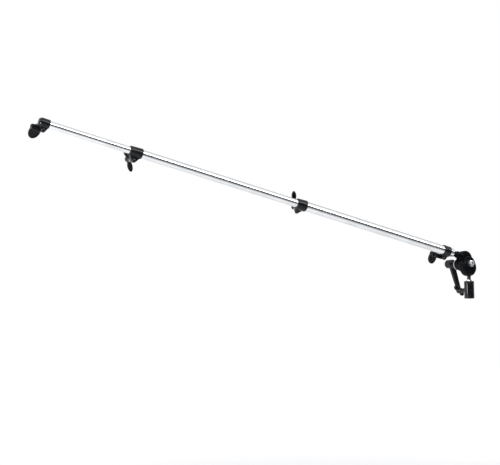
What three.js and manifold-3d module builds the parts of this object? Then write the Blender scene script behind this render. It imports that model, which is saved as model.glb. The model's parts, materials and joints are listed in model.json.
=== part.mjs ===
// Reflector holder arm: three telescopic tubes with a rim clamp at each end, carried by a tilting head
// on a stand socket. Millimetres, +Z up. The origin is the centre of the socket's lower face. The arm
// runs towards -X and rises on its way out, and its clamp bolts point to the back, +Y.
import * as THREE from "three";
import { mergeVertices } from "three/addons/utils/BufferGeometryUtils.js";
import Module from "manifold-3d";

const wasm = await Module();
wasm.setup();

const radians = THREE.MathUtils.degToRad;

// Clearance, cuts and facets
const fit = 0.3; // play between two pieces that touch
const overrun = 3; // how far a cut runs past what it cuts
const weld = 1e-4;
const roundSides = 26;
const smallSides = 12;
const knobSides = 14;
const wingSteps = 7;
const eggSteps = 6;
const domeSteps = 3;

// Telescopic tubes, and their stations along the arm, counted outwards from the tilt axis
const tubeWall = 1.2;
const outerTubeD = 25;
const middleTubeD = 21;
const innerTubeD = 17;
const outerTubeFrom = 47;
const outerTubeLength = 516;
const middleTubeLength = 512;
const innerTubeLength = 512;
const middleInOuter = 39; // how much of the middle tube stays in the outer one, as the arm is set
const innerInMiddle = 275;
const armRise = radians(11.8);

// Clamp collars
const rootCollarFromEnd = 23; // from the outer tube's right end to the middle of the collar
const tubePastMiddle = 2; // a tube's mouth lies this far beyond the middle of its lock collar
const outerLockLength = 28;
const innerLockLength = 32;
const rootCollarLength = 22.5;
const endCollarLength = 22;
const collarWall = 2.5;
const collarChamfer = 0.9;
const slitWidth = 3;
const lockBoltBelowRing = 7; // from the ring's underside to the clamp bolt
const rimBoltBelowRing = 5;
const eyeR = 5.6; // the ears' round end
const earSpan = 13; // over both ears
const earShoulderShare = 0.55;
const earEdge = 0.8;

// Clamp bolts and washers
const boltR = 3;
const boltHeadR = 4.6;
const boltHeadHeight = 3.4;
const boltCrownShare = 0.6; // the domed head's flat, and its height, beside the head's radius and height
const headRecess = 2;
const washerR = 6.2;
const washerThickness = 1.2;

// Wing knobs
const stemR = 6;
const stemChamfer = 0.8;
const hubR = 8;
const hubFrom = 17;
const hubShoulder = 4;
const knobHeight = 35;
const knobDome = 4;
const knobBoreDepth = 28;
const wingHeight = 26; // middle of the wings above the knob's foot
const wingReach = 30;
const lockWingWidth = 12.5;
const rimWingWidth = 22;
const wingThickness = 7;
const wingRootAt = 4;
const wingRise = radians(10);
const wingEdge = 1.6;
const wingRim = 2.4;
const wingRecess = 3.2;
const insertR = 4.5;
const insertLength = 12;
const boltInKnob = 19;

// Rim clamp plates
const plateThickness = 4;
const plateR = 6;
const plateTipR = 6.6;
const plateTipAt = 18;
const plateEdge = 0.8;
const rimGap = 8;
const rimR = 6.2;
const rimAt = 14; // from the bolt to the middle of the rim

// Guides in the tubes and the end cap
const guideFlange = 10;
const guideSpigot = 12;
const guideBoreR = 4;
const capSpigot = 14;
const capHeight = 3;

// How far each clamp is rolled about the tube, and how far its wings are turned on the bolt
const rootRoll = radians(17);
const outerLockRoll = radians(52);
const innerLockRoll = radians(13);
const endRoll = radians(18);
const rootSpin = radians(-37);
const outerLockSpin = radians(60);
const innerLockSpin = radians(66);
const endSpin = radians(-60);
const socketSpin = radians(39);

// Stand socket, its stud and its lock screw
const socketR = 14;
const socketHeight = 49;
const socketBoreR = 8.1;
const socketTop = 8;
const socketChamfer = 1;
const studR = 5.5;
const studInHead = 14;
const jamNutAcross = 14;
const jamNutHeight = 3;
const screwAt = 24;

// Tilting head: the lower half in front, the yoke behind it
const tiltX = -3;
const tiltZ = 98;
const axleR = 5;
const coreR = 21;
const baseLobeR = 25;
const baseLobeDrop = 10;
const baseThickness = 16;
const headEdge = 2;
const nutSeatR = 12;
const nutSeatHeight = 0.8;
const tiltNutAcross = 17;
const tiltNutHeight = 8;
const axlePastNut = 2;
const discR = 19;
const discThickness = 1.4;
const yokeLobeR = 23;
const yokeLobeRise = 15.5;
const yokeThickness = 17;
const armAboveTilt = 21.3;
const neckBossR = 10;
const neckBossFrom = 12;
const neckBossTo = 30;
const neckR = 8;
const neckChamfer = 1;
const spigotLength = 24;
const backBossR = 13;
const backBossHeight = 13;

// Lock lever
const leverTurn = radians(161);
const leverWasherR = 16;
const leverWasherThickness = 2.5;
const leverNeckR = 8.5;
const leverHubR = 12.4;
const leverHubOff = 4; // the hub's outer half lies this far off the axle, away from the arm
const leverHubFrom = 16;
const leverHubShoulder = 3;
const leverHeight = 46;
const leverDome = 7;
const leverArmAt = 25; // middle of the arm above the lever's foot
const leverArmThickness = 10;
const leverArmRootR = 9;
const leverArmTipR = 6;
const leverReach = 75;
const leverEdge = 2.2;
const leverGroove = 1.4;
const leverRim = 3;
const leverGrooveFrom = 19;
const leverInsertR = 7;
const leverInsertLength = 20;
const axleInLever = 18;

// Derived sizes
const outerTubeR = outerTubeD / 2;
const middleTubeR = middleTubeD / 2;
const innerTubeR = innerTubeD / 2;
const outerTubeTo = outerTubeFrom + outerTubeLength;
const middleTubeFrom = outerTubeTo - middleInOuter;
const middleTubeTo = middleTubeFrom + middleTubeLength;
const innerTubeFrom = middleTubeTo - innerInMiddle;
const innerTubeTo = innerTubeFrom + innerTubeLength;
const rootCollarAt = outerTubeFrom + rootCollarFromEnd;
const outerLockAt = outerTubeTo - tubePastMiddle;
const innerLockAt = middleTubeTo - tubePastMiddle;
const endCollarAt = innerTubeTo - endCollarLength / 2;
const earFace = earSpan / 2;
const lockKnobFoot = earFace + fit + washerThickness + fit;
const rimSeatFrom = earFace + fit;
const rimSeatTo = rimSeatFrom + plateThickness;
const rimJawFrom = rimSeatTo + rimGap;
const rimJawTo = rimJawFrom + plateThickness;
const rimWasherFrom = rimJawTo + fit;
const rimKnobFoot = rimWasherFrom + washerThickness + fit;
const baseBack = baseThickness / 2;
const discFrom = baseBack + fit;
const yokeFront = discFrom + discThickness + fit;
const yokeBack = yokeFront + yokeThickness;
const armY = (yokeFront + yokeBack) / 2;
const backBossTo = yokeBack + backBossHeight;
const leverWasherFrom = backBossTo + fit;
const leverFoot = leverWasherFrom + leverWasherThickness + fit;
const nutSeatTo = -baseBack - nutSeatHeight;
const tiltNutTo = nutSeatTo - fit;
const tiltNutFrom = tiltNutTo - tiltNutHeight;

// Finishes
const blackPlastic = { color: 0x1b1c1e, roughness: 0.48, metalness: 0 };
const blackPaint = { color: 0x16171a, roughness: 0.38, metalness: 0.1 };
const brightAluminium = { color: 0xc9cccf, roughness: 0.28, metalness: 1 };
const zincSteel = { color: 0xb7babd, roughness: 0.35, metalness: 1 };
const brass = { color: 0xb59b5c, roughness: 0.4, metalness: 1 };
const greyFibre = { color: 0x55575a, roughness: 0.85, metalness: 0 };
const guidePlastic = { color: 0xd8d8d4, roughness: 0.6, metalness: 0 };

// A closed three.js geometry as a solid that can be joined and cut
function solid(geometry) {
  const plain = geometry.index ? geometry.toNonIndexed() : geometry.clone();
  plain.deleteAttribute("normal");
  plain.deleteAttribute("uv");
  const welded = mergeVertices(plain, weld);
  const corners = welded.index.array;
  const kept = [];
  for (let i = 0; i < corners.length; i += 3) {
    const [a, b, c] = [corners[i], corners[i + 1], corners[i + 2]];
    if (a !== b && b !== c && c !== a) kept.push(a, b, c);
  }
  return new wasm.Manifold(
    new wasm.Mesh({
      numProp: 3,
      vertProperties: welded.attributes.position.array,
      triVerts: new Uint32Array(kept),
    }),
  );
}

// A finished solid as a named mesh
function piece(name, body, finish) {
  const mesh = body.getMesh();
  const geometry = new THREE.BufferGeometry();
  geometry.setAttribute("position", new THREE.BufferAttribute(mesh.vertProperties, mesh.numProp));
  geometry.setIndex(new THREE.BufferAttribute(mesh.triVerts, 1));
  geometry.computeVertexNormals();
  const made = new THREE.Mesh(geometry, new THREE.MeshStandardMaterial(finish));
  made.name = name;
  return made;
}

// A group that holds its children at a place
function placed(position, children) {
  const group = new THREE.Group();
  group.position.set(...position);
  group.add(...children);
  return group;
}

// Turned geometry comes about Y, and these lay it along X or Z
const layAlong = {
  x: (geometry) => geometry.rotateZ(-Math.PI / 2),
  y: (geometry) => geometry,
  z: (geometry) => geometry.rotateX(Math.PI / 2),
};

// A solid of revolution from a list of [station on the axis, radius]
function turned(axis, stations, sides = roundSides) {
  const outline = stations.map(([along, radius]) => new THREE.Vector2(radius, along));
  outline.unshift(new THREE.Vector2(0, stations[0][0]));
  outline.push(new THREE.Vector2(0, stations.at(-1)[0]));
  return solid(layAlong[axis](new THREE.LatheGeometry(outline, sides)));
}

// A plain round bar between two stations
function bar(axis, from, to, radius, sides = roundSides) {
  return turned(axis, [[from, radius], [to, radius]], sides);
}

// A round bar with both ends chamfered
function chamferedBar(axis, from, to, radius, chamfer) {
  return turned(axis, [
    [from, radius - chamfer],
    [from + chamfer, radius],
    [to - chamfer, radius],
    [to, radius - chamfer],
  ]);
}

// Stations of a domed end, from its full radius to a small flat at the tip
function dome(from, height, radius) {
  const stations = [];
  for (let i = 0; i <= domeSteps; i += 1) {
    const angle = (i / (domeSteps + 1)) * (Math.PI / 2);
    stations.push([from + height * Math.sin(angle), radius * Math.cos(angle)]);
  }
  return stations;
}

// A ring along X or Y
function ring(axis, from, to, radius, boreR, sides = roundSides) {
  return bar(axis, from, to, radius, sides).subtract(bar(axis, from - overrun, to + overrun, boreR, sides));
}

// A block between two corners
function block(low, high) {
  const size = high.map((value, i) => value - low[i]);
  const box = new THREE.BoxGeometry(...size);
  box.translate(...high.map((value, i) => (value + low[i]) / 2));
  return solid(box);
}

// An outline drawn in X and Z, given thickness along Y, with its edges rounded
function slab(outline, from, to, edge, curveSegments = eggSteps) {
  const geometry = new THREE.ExtrudeGeometry(outline, {
    depth: to - from - 2 * edge,
    bevelEnabled: edge > 0,
    bevelThickness: edge,
    bevelSize: edge,
    bevelOffset: -edge,
    bevelSegments: 1,
    curveSegments,
  });
  geometry.rotateX(Math.PI / 2);
  geometry.translate(0, to - edge, 0);
  return solid(geometry);
}

// Two circles joined by their tangents: the first at the centre, the second above it
function eggOutline(firstR, secondR, distance) {
  const lean = Math.asin((firstR - secondR) / distance);
  const outline = new THREE.Shape();
  outline.absarc(0, 0, firstR, Math.PI - lean, lean, false);
  outline.absarc(0, distance, secondR, lean, Math.PI - lean, false);
  outline.closePath();
  return outline;
}

// A hexagonal nut with chamfered corners
function hexNut(axis, from, to, across, boreR) {
  const cornerR = across / 2 / Math.cos(Math.PI / 6);
  const prism = new THREE.CylinderGeometry(cornerR, cornerR, to - from, 6);
  prism.rotateY(Math.PI / 6);
  prism.translate(0, (from + to) / 2, 0);
  const blank = chamferedBar(axis, from, to, cornerR, cornerR - across / 2);
  const bore = bar(axis, from - overrun, to + overrun, boreR, smallSides);
  return solid(layAlong[axis](prism)).intersect(blank).subtract(bore);
}

// A drawn tube along the arm, which runs towards -X
function drawnTube(from, to, radius) {
  return ring("x", -to, -from, radius, radius - tubeWall);
}

// Outline of the ears: as long as the collar at the ring, drawn in to a round eye at the bolt
function earOutline(length, shoulderAt, boltDrop) {
  const half = length / 2;
  const toEye = Math.hypot(half, boltDrop - shoulderAt);
  const bearing = Math.atan2(boltDrop - shoulderAt, half);
  const tangent = bearing - Math.acos(eyeR / toEye);
  const outline = new THREE.Shape();
  outline.moveTo(-half, 0);
  outline.lineTo(-half, -shoulderAt);
  outline.absarc(0, -boltDrop, eyeR, Math.PI - tangent, 2 * Math.PI + tangent, false);
  outline.lineTo(half, -shoulderAt);
  outline.lineTo(half, 0);
  outline.closePath();
  return outline;
}

// Collar: a ring split below, with two ears for the bolt. From its right end it seats on one tube, and
// past that tube's mouth it closes on the next, thinner one.
function collar(length, seatR, mouthR, boltDrop) {
  const ringR = seatR + collarWall;
  const half = length / 2;
  const ears = slab(earOutline(length, ringR * earShoulderShare, boltDrop), -earFace, earFace, earEdge);
  const slit = block(
    [-half - overrun, -slitWidth / 2, -boltDrop - eyeR - overrun],
    [half + overrun, slitWidth / 2, 0],
  );
  const boltHole = bar("y", -earFace - overrun, earFace + overrun, boltR + fit, smallSides);
  const headHole = bar("y", -earFace - overrun, -earFace + headRecess, boltHeadR + fit, smallSides);
  return chamferedBar("x", -half, half, ringR, collarChamfer)
    .add(ears)
    .subtract(bar("x", -half - overrun, half + overrun, mouthR + fit))
    .subtract(bar("x", -tubePastMiddle - fit, half + overrun, seatR + fit))
    .subtract(slit)
    .subtract(boltHole.add(headHole).translate(0, 0, -boltDrop));
}

// Clamp bolt with a domed head sunk in the front ear, its end inside the knob
function clampBolt(knobFoot) {
  const seat = -earFace + headRecess - fit;
  const head = turned("y", [
    [seat - boltHeadHeight, boltHeadR * boltCrownShare],
    [seat - boltHeadHeight * boltCrownShare, boltHeadR],
    [seat, boltHeadR],
  ], smallSides);
  return head.add(bar("y", seat - fit, knobFoot + boltInKnob, boltR, smallSides));
}

// One wing of a knob: an oval lobe with rounded edges, cored on the side that faces the collar
function knobWing(width) {
  const reach = (wingReach - wingRootAt) / 2;
  const oval = new THREE.Shape();
  oval.absellipse(0, 0, reach, width / 2, 0, 2 * Math.PI);
  const core = new THREE.Shape();
  core.absellipse(0, 0, reach - wingRim, width / 2 - wingRim, 0, 2 * Math.PI);
  const under = -wingThickness / 2;
  return slab(oval, under, -under, wingEdge, wingSteps)
    .subtract(slab(core, under - overrun, under + wingRecess, 0, wingSteps))
    .translate(wingRootAt + reach, 0, 0)
    .rotate(0, 0, THREE.MathUtils.radToDeg(wingRise))
    .translate(0, wingHeight, 0);
}

// Wing knob standing on its foot at the origin, with its axis along Y and its wings along X
function wingKnob(wingWidth) {
  const body = turned("y", [
    [0, stemR - stemChamfer],
    [stemChamfer, stemR],
    [hubFrom, stemR],
    [hubFrom + hubShoulder, hubR],
    ...dome(knobHeight - knobDome, knobDome, hubR),
  ], knobSides);
  const wing = knobWing(wingWidth);
  return body
    .add(wing)
    .add(wing.rotate(0, 180, 0))
    .subtract(bar("y", -overrun, insertLength + fit, insertR + fit, smallSides))
    .subtract(bar("y", -overrun, knobBoreDepth, boltR + fit, smallSides));
}

// A wing knob and its insert, with names that start alike
function knobPieces(name, foot, wingWidth, spin) {
  const insert = ring("y", fit, insertLength, insertR, boltR + fit, smallSides);
  const group = placed([0, foot, 0], [
    piece(`${name}_knob`, wingKnob(wingWidth), blackPlastic),
    piece(`${name}_knob_insert`, insert, brass),
  ]);
  group.rotation.y = spin;
  return group;
}

// Rim plate: a short bar that reaches from the bolt towards -X, with half of the rim's round seat across it
function rimPlate(from, to, seatAt) {
  const bolt = bar("y", from - overrun, to + overrun, boltR + fit, smallSides);
  const seat = bar("z", -plateTipR - overrun, plateTipR + overrun, rimR);
  return slab(eggOutline(plateR, plateTipR, plateTipAt), from, to, plateEdge)
    .rotate(0, -90, 0)
    .subtract(bolt)
    .subtract(seat.translate(-rimAt, seatAt, 0));
}

// A collar with all that hangs on its bolt, rolled about the tube. A rim clamp also has its two plates.
function clamp(name, at, roll, spin, shape) {
  const boltDrop = shape.seatR + collarWall + shape.boltBelowRing;
  const onBolt = [];
  const body = collar(shape.length, shape.seatR, shape.mouthR, boltDrop);
  const knobFoot = shape.holdsRim ? rimKnobFoot : lockKnobFoot;
  const washerTo = knobFoot - fit;
  const washer = ring("y", washerTo - washerThickness, washerTo, washerR, boltR + fit, smallSides);
  onBolt.push(piece(`${name}_bolt`, clampBolt(knobFoot), zincSteel));
  onBolt.push(piece(`${name}_washer`, washer, zincSteel));
  onBolt.push(knobPieces(name, knobFoot, shape.wingWidth, spin));
  if (shape.holdsRim) {
    const rimCentre = (rimSeatTo + rimJawFrom) / 2;
    const seat = rimPlate(rimSeatFrom, rimSeatTo, rimCentre);
    const jaw = rimPlate(rimJawFrom, rimJawTo, rimCentre);
    onBolt.push(piece(`${name}_rim_seat`, seat, blackPlastic));
    onBolt.push(piece(`${name}_rim_jaw`, jaw, blackPlastic));
  }
  const group = placed([-at, 0, 0], [
    piece(`${name}_collar`, body, blackPlastic),
    placed([0, 0, -boltDrop], onBolt),
  ]);
  group.rotation.x = roll;
  return group;
}

// Guide on the inner end of a tube: a spigot in that tube and a flange that runs in the one around it
function guide(tubeFrom, tubeR, aroundR) {
  const shoulder = -tubeFrom + fit;
  const body = turned("x", [
    [-tubeFrom - guideSpigot, tubeR - tubeWall - fit],
    [shoulder, tubeR - tubeWall - fit],
    [shoulder, aroundR - tubeWall - fit],
    [shoulder + guideFlange, aroundR - tubeWall - fit],
  ]);
  return body.subtract(bar("x", -tubeFrom - guideSpigot - overrun, shoulder + guideFlange + overrun, guideBoreR));
}

// Cap in the far end of the thinnest tube
function endCap() {
  const face = -innerTubeTo - fit;
  return turned("x", [
    [face - capHeight, innerTubeR - collarChamfer],
    [face - capHeight + collarChamfer, innerTubeR],
    [face, innerTubeR],
    [face, innerTubeR - tubeWall - fit],
    [face + capSpigot, innerTubeR - tubeWall - fit],
  ]);
}

// Lower half of the head, about the tilt axis: an egg-shaped casting on the stud, with a seat for the nut
function headBase() {
  const underside = -baseLobeDrop - baseLobeR;
  const studHole = bar("z", underside - overrun, underside + studInHead, studR + fit, smallSides);
  const axleHole = bar("y", nutSeatTo - overrun, baseBack + overrun, axleR + fit, smallSides);
  return slab(eggOutline(coreR, baseLobeR, baseLobeDrop), -baseBack, baseBack, headEdge)
    .rotate(0, 180, 0)
    .add(bar("y", nutSeatTo, 0, nutSeatR))
    .subtract(studHole.translate(-tiltX, 0, 0))
    .subtract(axleHole);
}

// Upper half of the head: the yoke plate, the neck and spigot for the arm, and the boss behind
function headYoke() {
  const spigotR = outerTubeR - tubeWall - fit;
  const spigotTo = -outerTubeFrom - spigotLength;
  const shoulder = -outerTubeFrom + fit;
  const neck = turned("x", [
    [spigotTo, spigotR - neckChamfer],
    [spigotTo + neckChamfer, spigotR],
    [shoulder, spigotR],
    [shoulder, neckR],
    [-neckBossTo, neckR],
    [-neckBossTo, neckBossR - neckChamfer],
    [-neckBossTo + neckChamfer, neckBossR],
    [-neckBossFrom, neckBossR],
  ]);
  const axleHole = bar("y", yokeFront - overrun, backBossTo + overrun, axleR + fit, smallSides);
  return slab(eggOutline(coreR, yokeLobeR, yokeLobeRise), yokeFront, yokeBack, headEdge)
    .add(neck.translate(0, armY, armAboveTilt))
    .add(chamferedBar("y", yokeBack - headEdge, backBossTo, backBossR, neckChamfer))
    .subtract(axleHole);
}

// Lever standing on its foot at the origin, with its hub along Y and its arm drawn upwards
function lockLever() {
  const neck = turned("y", [
    [0, leverNeckR - stemChamfer],
    [stemChamfer, leverNeckR],
    [leverArmAt, leverNeckR],
  ]);
  const hub = turned("y", [
    [leverHubFrom, leverNeckR],
    [leverHubFrom + leverHubShoulder, leverHubR],
    ...dome(leverHeight - leverDome, leverDome, leverHubR),
  ]);
  const front = leverArmAt - leverArmThickness / 2;
  const back = leverArmAt + leverArmThickness / 2;
  const arm = slab(eggOutline(leverArmRootR, leverArmTipR, leverReach), front, back, leverEdge);
  const hollow = eggOutline(leverArmRootR - leverRim, leverArmTipR - leverRim, leverReach - leverGrooveFrom);
  const frontGroove = slab(hollow, front - overrun, front + leverGroove, 0);
  const backGroove = slab(hollow, back - leverGroove, back + overrun, 0);
  return neck
    .add(hub.translate(0, 0, -leverHubOff))
    .add(arm)
    .subtract(frontGroove.add(backGroove).translate(0, 0, leverGrooveFrom))
    .subtract(bar("y", -overrun, leverInsertLength + fit, leverInsertR + fit));
}

// Socket that drops over the stand's spigot, with holes for the stud above and the lock screw behind
function standSocket() {
  return chamferedBar("z", 0, socketHeight, socketR, socketChamfer)
    .subtract(bar("z", -overrun, socketHeight - socketTop, socketBoreR))
    .subtract(bar("z", 0, socketHeight + overrun, studR + fit, smallSides))
    .subtract(bar("y", 0, socketR + overrun, boltR + fit, smallSides).translate(0, 0, screwAt));
}

// Stand side: socket, stud, jam nut, lower half of the head, its axle and nut
function standSide() {
  const studFrom = socketHeight - socketTop + fit;
  const studTo = tiltZ - baseLobeDrop - baseLobeR + studInHead - fit;
  const nutFrom = socketHeight + fit;
  const axle = chamferedBar("y", tiltNutFrom - axlePastNut, leverFoot + axleInLever, axleR, stemChamfer);
  return [
    piece("stand_socket", standSocket(), blackPaint),
    piece("head_stud", bar("z", studFrom, studTo, studR, smallSides), zincSteel),
    piece("stud_nut", hexNut("z", nutFrom, nutFrom + jamNutHeight, jamNutAcross, studR + fit), zincSteel),
    placed([tiltX, 0, tiltZ], [
      piece("head_base", headBase(), blackPaint),
      piece("tilt_axle", axle, zincSteel),
      piece("tilt_nut", hexNut("y", tiltNutFrom, tiltNutTo, tiltNutAcross, axleR + fit), zincSteel),
    ]),
  ];
}

// Knob that locks the socket on the stand, with its screw
function socketLock() {
  const foot = socketR + fit;
  const screw = bar("y", socketBoreR + fit, foot + boltInKnob, boltR, smallSides);
  return placed([0, 0, screwAt], [
    piece("socket_screw", screw, zincSteel),
    knobPieces("socket", foot, lockWingWidth, socketSpin),
  ]);
}

// Lever with the insert that runs on the axle's thread
function lever() {
  const insert = ring("y", fit, leverInsertLength, leverInsertR, axleR + fit);
  const group = placed([tiltX, leverFoot, tiltZ], [
    piece("lock_lever", lockLever(), blackPlastic),
    piece("lock_lever_insert", insert, zincSteel),
  ]);
  group.rotation.y = leverTurn;
  return group;
}

// What each collar is made to: its length, the tubes that it holds, and what its bolt carries
const lockShape = {
  boltBelowRing: lockBoltBelowRing,
  wingWidth: lockWingWidth,
  holdsRim: false,
};
const rimShape = {
  boltBelowRing: rimBoltBelowRing,
  wingWidth: rimWingWidth,
  holdsRim: true,
};
const outerLock = { ...lockShape, length: outerLockLength, seatR: outerTubeR, mouthR: middleTubeR };
const innerLock = { ...lockShape, length: innerLockLength, seatR: middleTubeR, mouthR: innerTubeR };
const rootClamp = { ...rimShape, length: rootCollarLength, seatR: outerTubeR, mouthR: outerTubeR };
const endClamp = { ...rimShape, length: endCollarLength, seatR: innerTubeR, mouthR: innerTubeR };

// Telescopic arm with its four clamps
function telescopicArm() {
  return placed([0, armY, armAboveTilt], [
    piece("outer_tube", drawnTube(outerTubeFrom, outerTubeTo, outerTubeR), brightAluminium),
    piece("middle_tube", drawnTube(middleTubeFrom, middleTubeTo, middleTubeR), brightAluminium),
    piece("middle_guide", guide(middleTubeFrom, middleTubeR, outerTubeR), guidePlastic),
    piece("inner_tube", drawnTube(innerTubeFrom, innerTubeTo, innerTubeR), brightAluminium),
    piece("inner_guide", guide(innerTubeFrom, innerTubeR, middleTubeR), guidePlastic),
    piece("end_cap", endCap(), blackPlastic),
    clamp("root", rootCollarAt, rootRoll, rootSpin, rootClamp),
    clamp("outer_lock", outerLockAt, outerLockRoll, outerLockSpin, outerLock),
    clamp("inner_lock", innerLockAt, innerLockRoll, innerLockSpin, innerLock),
    clamp("end", endCollarAt, endRoll, endSpin, endClamp),
  ]);
}

// Tilting half: friction disc, yoke, lever washer and the arm, raised about the axle
function tiltingHalf() {
  const disc = ring("y", discFrom, discFrom + discThickness, discR, axleR + fit);
  const washerTo = leverWasherFrom + leverWasherThickness;
  const group = placed([tiltX, 0, tiltZ], [
    piece("friction_disc", disc, greyFibre),
    piece("head_yoke", headYoke(), blackPaint),
    piece("lever_washer", ring("y", leverWasherFrom, washerTo, leverWasherR, axleR + fit), zincSteel),
    telescopicArm(),
  ]);
  group.rotation.y = armRise;
  return group;
}

const holderArm = new THREE.Group();
holderArm.add(...standSide(), socketLock(), lever(), tiltingHalf());

export default holderArm;
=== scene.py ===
# Reflector holder arm: three telescopic tubes with a rim clamp at each end, on a tilting head.
# Pieces are made in millimetres in their own places, and set down in metres where the frame has them.
import json
import math

import bmesh
import bpy
from mathutils import Matrix, Vector


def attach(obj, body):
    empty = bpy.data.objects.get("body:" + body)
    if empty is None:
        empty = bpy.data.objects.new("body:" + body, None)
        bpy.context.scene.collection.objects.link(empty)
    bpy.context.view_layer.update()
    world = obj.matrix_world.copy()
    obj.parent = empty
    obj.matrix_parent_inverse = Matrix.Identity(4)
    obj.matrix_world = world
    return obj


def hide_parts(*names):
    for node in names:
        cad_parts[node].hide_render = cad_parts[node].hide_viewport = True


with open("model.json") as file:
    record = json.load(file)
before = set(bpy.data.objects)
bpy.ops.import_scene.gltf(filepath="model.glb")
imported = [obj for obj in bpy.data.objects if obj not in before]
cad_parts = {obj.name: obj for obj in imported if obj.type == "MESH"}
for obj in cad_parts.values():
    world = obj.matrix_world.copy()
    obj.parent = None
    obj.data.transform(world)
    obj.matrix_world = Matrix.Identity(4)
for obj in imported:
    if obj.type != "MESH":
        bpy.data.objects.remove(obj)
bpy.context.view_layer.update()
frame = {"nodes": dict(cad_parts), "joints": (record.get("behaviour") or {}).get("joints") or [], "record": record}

# Stand socket: a turned sleeve in gloss black paint that drops over a 16 mm spigot. Its closed top has
# the hole for the stud of the head, and the lock screw enters from behind.
metres = Matrix.Scale(0.001, 4)
upright = Matrix.Rotation(math.pi / 2, 4, "X")
fit = 0.3
overrun = 3
round_sides = 96
thin_sides = 48
corner_share = 0.3
crisp_from = math.radians(34)
socket_r = 14
socket_height = 49
socket_bore_r = 8.1
socket_top = 8
socket_edge = 0.9
mouth_edge = 0.6
screw_at = 24
screw_r = 3
stud_r = 5.5


# A mesh as an object in the scene
def linked(mesh):
    made = bpy.data.objects.new("blank", mesh)
    bpy.context.scene.collection.objects.link(made)
    return made


# A bmesh as an object, with its faces as they are
def as_it_is(shape):
    mesh = bpy.data.meshes.new("blank")
    shape.to_mesh(mesh)
    shape.free()
    return linked(mesh)


# A bmesh as an object whose faces point outwards
def as_object(shape):
    bmesh.ops.recalc_face_normals(shape, faces=shape.faces)
    return as_it_is(shape)


# A solid turned about Y from pairs of station and radius. A closed list of pairs makes a bored one.
def turned(stations, closed=False, sides=round_sides):
    shape = bmesh.new()
    bearings = [2 * math.pi * i / sides for i in range(sides)]
    rings = []
    for along, radius in stations:
        spots = [(radius * math.cos(a), along, radius * math.sin(a)) for a in bearings]
        rings.append([shape.verts.new(spot) for spot in spots])
    neighbours = list(zip(rings, rings[1:]))
    if closed:
        neighbours.append((rings[-1], rings[0]))
    else:
        shape.faces.new(rings[0])
        shape.faces.new(rings[-1])
    for first, second in neighbours:
        for i in range(sides):
            k = (i + 1) % sides
            shape.faces.new((first[i], first[k], second[k], second[i]))
    return as_object(shape)


# The object's modifiers worked into its mesh
def settled(made):
    seen = made.evaluated_get(bpy.context.evaluated_depsgraph_get())
    mesh = bpy.data.meshes.new_from_object(seen)
    made.modifiers.clear()
    made.data = mesh
    return made


def moved(made, place):
    made.data.transform(place)
    return made


# The piece with other solids cut out of it, or met with it
def cut(made, *cutters, way="DIFFERENCE"):
    for cutter in cutters:
        step = made.modifiers.new("cut", "BOOLEAN")
        step.operation = way
        step.solver = "MANIFOLD"
        step.object = cutter
        settled(made)
        bpy.data.objects.remove(cutter)
    return made


# Which body each CAD node belongs to in the record
body_of = {}
for body, members in frame["record"]["behaviour"]["bodies"].items():
    for member in members:
        body_of[member] = body


# The piece set down in metres in the place of a node, with its finish and its edges kept crisp
def stands_for(made, node, finish, place=Matrix()):
    made.data.transform(metres @ place)
    made.name = f"{node}_made"
    made.data.name = made.name
    made.data.materials.clear()
    made.data.materials.append(finish)
    made.data.shade_smooth()
    made.data.set_sharp_from_angle(angle=crisp_from)
    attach(made, body_of[node])
    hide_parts(node)
    return made


# A new finish: its tree, its shader and the object's coordinates
def new_finish(name):
    finish = bpy.data.materials.new(name)
    finish.use_nodes = True
    tree = finish.node_tree
    spot = tree.nodes.new("ShaderNodeTexCoord").outputs["Object"]
    return finish, tree, tree.nodes["Principled BSDF"], spot


def noise(tree, spot, scale, detail=3.0, roughness=0.5):
    grain = tree.nodes.new("ShaderNodeTexNoise")
    grain.inputs["Scale"].default_value = scale
    grain.inputs["Detail"].default_value = detail
    grain.inputs["Roughness"].default_value = roughness
    tree.links.new(spot, grain.inputs["Vector"])
    return grain.outputs["Fac"]


# A value spread between two others
def spread(tree, value, low, high, start=0.3, end=0.7):
    reach = tree.nodes.new("ShaderNodeMapRange")
    reach.inputs["From Min"].default_value = start
    reach.inputs["From Max"].default_value = end
    reach.inputs["To Min"].default_value = low
    reach.inputs["To Max"].default_value = high
    tree.links.new(value, reach.inputs["Value"])
    return reach.outputs["Result"]


# A colour blended between two by a value
def blended(tree, value, first, second, start=0.35, end=0.65):
    ramp = tree.nodes.new("ShaderNodeValToRGB")
    ramp.color_ramp.elements[0].position = start
    ramp.color_ramp.elements[0].color = (*first, 1)
    ramp.color_ramp.elements[1].position = end
    ramp.color_ramp.elements[1].color = (*second, 1)
    tree.links.new(value, ramp.inputs["Fac"])
    return ramp.outputs["Color"]


# Relief of some depth in metres, laid over any relief already there
def relief(tree, shader, height, depth, strength=1.0):
    bump = tree.nodes.new("ShaderNodeBump")
    bump.inputs["Strength"].default_value = strength
    bump.inputs["Distance"].default_value = depth
    tree.links.new(height, bump.inputs["Height"])
    if shader.inputs["Normal"].links:
        tree.links.new(shader.inputs["Normal"].links[0].from_socket, bump.inputs["Normal"])
    tree.links.new(bump.outputs["Normal"], shader.inputs["Normal"])


# Black paint: a little orange peel, and faint dull patches where hands and dust have been. It shines
# on the turned socket, and hardly on the castings of the head.
def make_black_paint(name, shine):
    finish, tree, shader, spot = new_finish(name)
    patches = noise(tree, spot, 90, 4)
    tone = blended(tree, patches, (0.002, 0.0022, 0.003), (0.005, 0.0055, 0.007))
    tree.links.new(tone, shader.inputs["Base Color"])
    shader.inputs["Specular IOR Level"].default_value = shine
    tree.links.new(spread(tree, patches, 0.12, 0.2), shader.inputs["Roughness"])
    relief(tree, shader, noise(tree, spot, 500, 2), 0.00004, 0.3)
    return finish


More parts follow.
